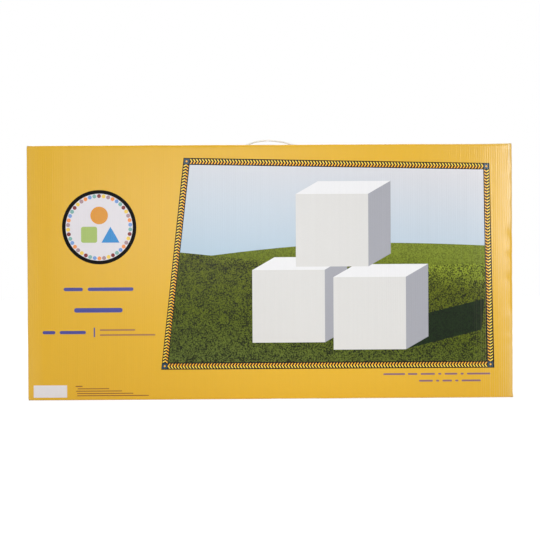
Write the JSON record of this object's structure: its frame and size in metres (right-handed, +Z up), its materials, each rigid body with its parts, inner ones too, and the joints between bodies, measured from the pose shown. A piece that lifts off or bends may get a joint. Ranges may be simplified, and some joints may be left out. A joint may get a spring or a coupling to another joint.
{
  "type": "flat retail carton with carry handle",
  "caption": "Closed flat carton of printed corrugated board that stands on its long edge, with overlapping flaps and a plastic strap handle that draws up out of its top edge.",
  "frame": {"origin": "centre of the base that the carton stands on", "axes": "+X along the length, to the right as the printed front is seen; +Y from the front panel to the back panel; +Z up"},
  "size_m": [0.91, 0.055, 0.4876],
  "materials": {
    "printed_board": "corrugated board with a yellow printed and varnished liner",
    "strap_plastic": "whitish translucent moulded polyethylene"
  },
  "bodies": {
    "carton": {"carton": "printed_board"},
    "handle": {"carry_handle": "strap_plastic"}
  },
  "joints": [
    {"name": "handle_lift", "type": "slide", "parent": "carton", "child": "handle", "axis": [0, 0, 1], "range_m": [0, 0.018]}
  ]
}
